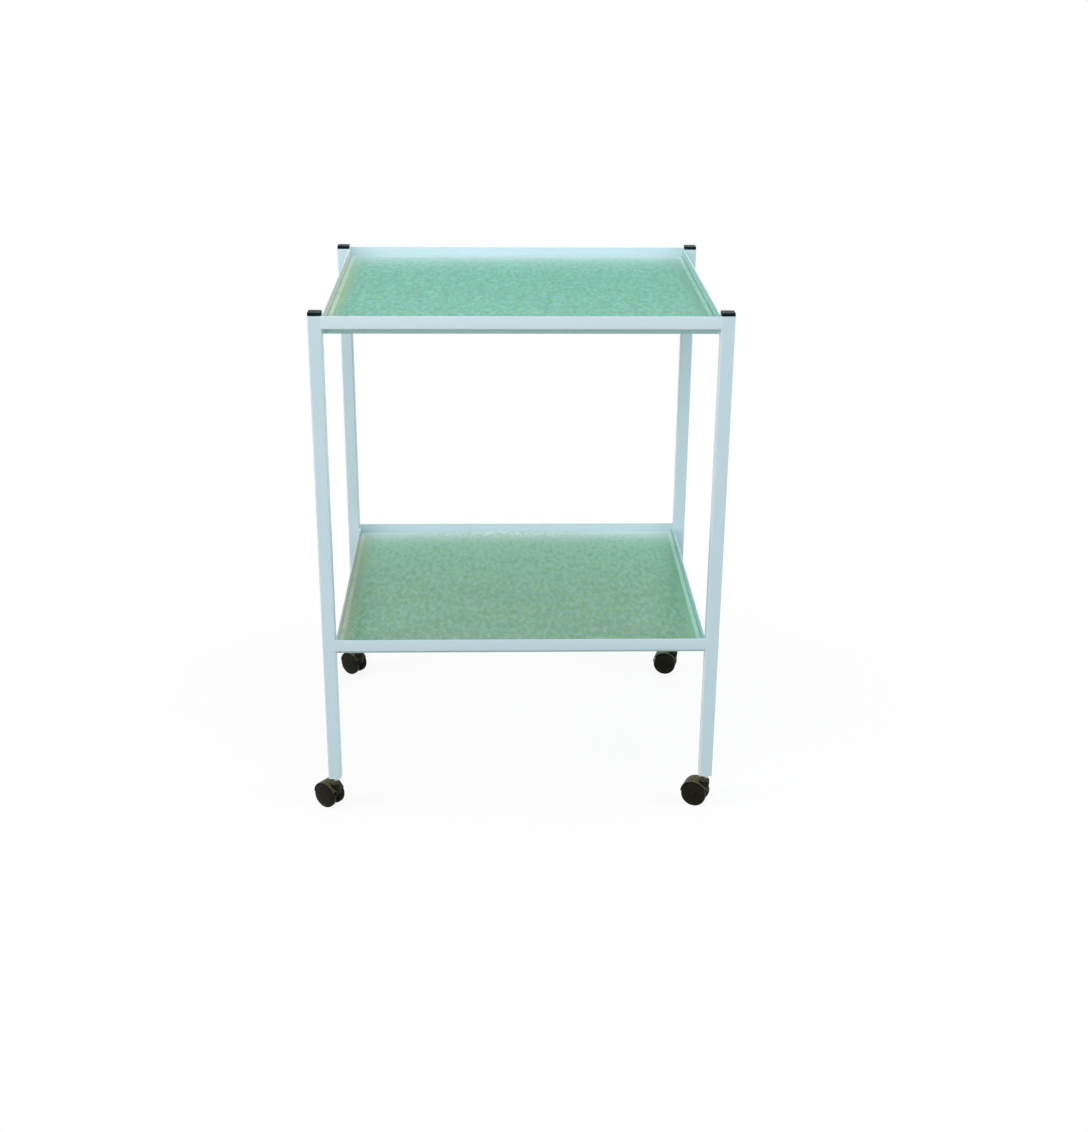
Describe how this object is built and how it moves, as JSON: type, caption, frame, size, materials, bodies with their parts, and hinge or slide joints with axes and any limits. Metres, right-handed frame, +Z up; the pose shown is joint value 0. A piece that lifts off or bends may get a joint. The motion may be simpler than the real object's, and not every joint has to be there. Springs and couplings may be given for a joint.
{
  "type": "medical trolley",
  "caption": "Medical trolley with a square-tube frame, an upper and a lower shelf of framed green glass, black leg caps and swivelling twin-wheel castors.",
  "frame": {"origin": "on the floor, in the middle of the box that the trolley fills as it stands with its castors trailing", "axes": "+Z up, -Y towards the pictured front, +X to the right seen from the front"},
  "size_m": [0.6264, 0.5273, 0.793],
  "materials": {
    "frame_paint": "smooth semi-gloss powder coat in a pale blue white",
    "green_glass": "green patterned glass, translucent",
    "cap_plastic": "black moulded plastic, fine satin",
    "castor_plastic": "black moulded plastic, satin",
    "bright_steel": "bright zinc plate"
  },
  "bodies": {
    "frame": {"front_left_leg": "frame_paint", "front_left_leg_cap": "cap_plastic", "front_left_nut_plate": "bright_steel", "front_left_castor_stem": "bright_steel", "front_left_castor_ring": "bright_steel", "front_right_leg": "frame_paint", "front_right_leg_cap": "cap_plastic", "front_right_nut_plate": "bright_steel", "front_right_castor_stem": "bright_steel", "front_right_castor_ring": "bright_steel", "rear_left_leg": "frame_paint", "rear_left_leg_cap": "cap_plastic", "rear_left_nut_plate": "bright_steel", "rear_left_castor_stem": "bright_steel", "rear_left_castor_ring": "bright_steel", "rear_right_leg": "frame_paint", "rear_right_leg_cap": "cap_plastic", "rear_right_nut_plate": "bright_steel", "rear_right_castor_stem": "bright_steel", "rear_right_castor_ring": "bright_steel", "upper_front_rail": "frame_paint", "upper_right_rail": "frame_paint", "upper_rear_rail": "frame_paint", "upper_left_rail": "frame_paint", "upper_glass_pane": "green_glass", "lower_front_rail": "frame_paint", "lower_right_rail": "frame_paint", "lower_rear_rail": "frame_paint", "lower_left_rail": "frame_paint", "lower_glass_pane": "green_glass"},
    "front_left_castor": {"front_left_castor_body": "castor_plastic", "front_left_castor_axle": "bright_steel"},
    "front_left_left_wheel": {"front_left_left_wheel": "castor_plastic"},
    "front_left_right_wheel": {"front_left_right_wheel": "castor_plastic"},
    "front_right_castor": {"front_right_castor_body": "castor_plastic", "front_right_castor_axle": "bright_steel"},
    "front_right_left_wheel": {"front_right_left_wheel": "castor_plastic"},
    "front_right_right_wheel": {"front_right_right_wheel": "castor_plastic"},
    "rear_left_castor": {"rear_left_castor_body": "castor_plastic", "rear_left_castor_axle": "bright_steel"},
    "rear_left_left_wheel": {"rear_left_left_wheel": "castor_plastic"},
    "rear_left_right_wheel": {"rear_left_right_wheel": "castor_plastic"},
    "rear_right_castor": {"rear_right_castor_body": "castor_plastic", "rear_right_castor_axle": "bright_steel"},
    "rear_right_left_wheel": {"rear_right_left_wheel": "castor_plastic"},
    "rear_right_right_wheel": {"rear_right_right_wheel": "castor_plastic"}
  },
  "joints": [
    {"name": "front_left_swivel", "type": "hinge", "parent": "frame", "child": "front_left_castor", "pos_m": [-0.27747, -0.2486, 0.04], "axis": [0, 0, 1], "continuous": true},
    {"name": "front_right_swivel", "type": "hinge", "parent": "frame", "child": "front_right_castor", "pos_m": [0.30253, -0.2486, 0.04], "axis": [0, 0, 1], "continuous": true},
    {"name": "rear_left_swivel", "type": "hinge", "parent": "frame", "child": "rear_left_castor", "pos_m": [-0.27747, 0.2314, 0.04], "axis": [0, 0, 1], "continuous": true},
    {"name": "rear_right_swivel", "type": "hinge", "parent": "frame", "child": "rear_right_castor", "pos_m": [0.30253, 0.2314, 0.04], "axis": [0, 0, 1], "continuous": true},
    {"name": "front_left_left_wheel_spin", "type": "hinge", "parent": "front_left_castor", "child": "front_left_left_wheel", "pos_m": [-0.2885, -0.23998, 0.01983], "axis": [-0.6157, -0.788, 0], "continuous": true},
    {"name": "front_left_right_wheel_spin", "type": "hinge", "parent": "front_left_castor", "child": "front_left_right_wheel", "pos_m": [-0.2885, -0.23998, 0.01983], "axis": [-0.6157, -0.788, 0], "continuous": true},
    {"name": "front_right_left_wheel_spin", "type": "hinge", "parent": "front_right_castor", "child": "front_right_left_wheel", "pos_m": [0.28974, -0.24291, 0.01983], "axis": [-0.4067, -0.9135, 0], "continuous": true},
    {"name": "front_right_right_wheel_spin", "type": "hinge", "parent": "front_right_castor", "child": "front_right_right_wheel", "pos_m": [0.28974, -0.24291, 0.01983], "axis": [-0.4067, -0.9135, 0], "continuous": true},
    {"name": "rear_left_left_wheel_spin", "type": "hinge", "parent": "rear_left_castor", "child": "rear_left_left_wheel", "pos_m": [-0.28819, 0.2404, 0.01983], "axis": [-0.6428, -0.766, 0], "continuous": true},
    {"name": "rear_left_right_wheel_spin", "type": "hinge", "parent": "rear_left_castor", "child": "rear_left_right_wheel", "pos_m": [-0.28819, 0.2404, 0.01983], "axis": [-0.6428, -0.766, 0], "continuous": true},
    {"name": "rear_right_left_wheel_spin", "type": "hinge", "parent": "rear_right_castor", "child": "rear_right_left_wheel", "pos_m": [0.28901, 0.23502, 0.01983], "axis": [-0.2588, -0.9659, 0], "continuous": true},
    {"name": "rear_right_right_wheel_spin", "type": "hinge", "parent": "rear_right_castor", "child": "rear_right_right_wheel", "pos_m": [0.28901, 0.23502, 0.01983], "axis": [-0.2588, -0.9659, 0], "continuous": true}
  ]
}
